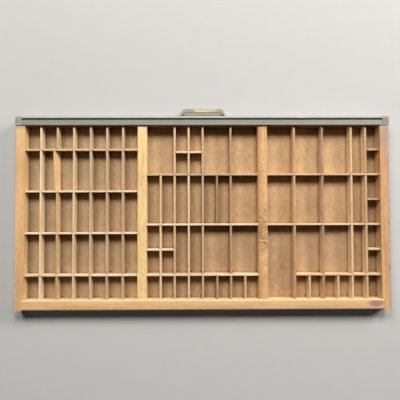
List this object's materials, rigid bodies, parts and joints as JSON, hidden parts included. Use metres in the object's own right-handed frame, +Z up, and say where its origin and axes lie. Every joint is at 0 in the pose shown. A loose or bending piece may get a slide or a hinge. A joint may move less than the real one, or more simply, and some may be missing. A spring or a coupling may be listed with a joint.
{
  "type": "type case",
  "caption": "Shallow wooden printer's type case with thin half-lapped slats, a formed steel front, a finger pull with a card frame, and one loose divider.",
  "frame": {"origin": "centre of the underside of the bottom panel, measured over the case without its pull", "axes": "+Z up out of the compartments, -Y towards the steel front and pull, +X to the right hand of a person facing the pull"},
  "size_m": [0.8192, 0.445, 0.0364],
  "materials": {
    "frame_wood": "worn oiled maple, edges rubbed pale",
    "frame_wood_reddish": "worn oiled maple, reddish, edges rubbed grey",
    "frame_wood_dark": "maple darkened by handling",
    "bar_wood_pale": "pale maple with small brown flecks",
    "bar_wood_orange": "maple, orange, scratched and dented",
    "board": "brown board, matte, dusty",
    "steel_paint": "grey-green enamel on steel, satin",
    "steel_paint_worn": "grey-green enamel worn lighter",
    "pull_paint_brass": "grey-green enamel worn through to brass on the finger lip",
    "screw_brass": "dull brass",
    "screw_steel": "darkened steel",
    "card": "aged blank card, matte",
    "slat_wood_dull": "dirty grey-brown maple",
    "slat_wood_orange": "maple, warm",
    "slat_wood_pale": "maple, top edges rubbed pale",
    "slat_wood": "thin maple, top edges rubbed pale"
  },
  "bodies": {
    "case": {"bottom_panel": "board", "centre_cross_slat_1": "slat_wood_pale", "centre_cross_slat_2": "slat_wood_pale", "centre_cross_slat_3": "slat_wood_pale", "centre_divider_1": "slat_wood", "centre_divider_2": "slat_wood", "centre_divider_3": "slat_wood", "centre_divider_4": "slat_wood", "centre_divider_5_middle": "slat_wood", "centre_divider_5_rear": "slat_wood", "centre_divider_6": "slat_wood", "centre_divider_7": "slat_wood", "centre_short_slat_front": "slat_wood_pale", "centre_short_slat_rear": "slat_wood_pale", "corner_cap_left": "steel_paint_worn", "corner_cap_right": "steel_paint_worn", "corner_nail_left_high": "screw_steel", "corner_nail_left_low": "screw_steel", "corner_nail_right_high": "screw_steel", "corner_nail_right_low": "screw_steel", "drawer_pull": "pull_paint_brass", "front_rail": "frame_wood_dark", "front_screw_left": "screw_steel", "front_screw_right": "screw_steel", "left_cross_slat_1": "slat_wood_pale", "left_cross_slat_2": "slat_wood_pale", "left_cross_slat_3": "slat_wood_pale", "left_divider_2": "slat_wood", "left_divider_3_rear": "slat_wood", "left_divider_4": "slat_wood_dull", "left_divider_5_rear": "slat_wood", "left_divider_6": "slat_wood", "left_divider_7": "slat_wood", "left_short_slat_1": "slat_wood_pale", "left_short_slat_2": "slat_wood_pale", "left_short_slat_3": "slat_wood_pale", "main_bar_left": "bar_wood_orange", "main_bar_right": "bar_wood_pale", "pull_screw_left": "screw_brass", "pull_screw_right": "screw_brass", "rear_rail": "frame_wood", "right_cross_slat_1": "slat_wood_pale", "right_cross_slat_2": "slat_wood_pale", "right_cross_slat_3": "slat_wood_pale", "right_cross_slat_4": "slat_wood_pale", "right_divider_1": "slat_wood", "right_divider_2_front": "slat_wood", "right_divider_2_rear": "slat_wood", "right_divider_3": "slat_wood", "right_divider_4": "slat_wood", "right_divider_5": "slat_wood", "right_divider_6": "slat_wood", "side_rail_left": "frame_wood_reddish", "side_rail_right": "frame_wood", "steel_front": "steel_paint"},
    "loose_divider": {"loose_divider": "slat_wood_orange"},
    "label_card": {"label_card": "card"}
  },
  "joints": [
    {"name": "divider_tilt", "type": "hinge", "parent": "case", "child": "loose_divider", "pos_m": [0.32124, -0.09315, 0.0043], "axis": [0, 1, 0], "range_deg": [-13.5, 72]},
    {"name": "card_lift", "type": "slide", "parent": "case", "child": "label_card", "axis": [0, 0, 1], "range_m": [0, 0.024]}
  ]
}
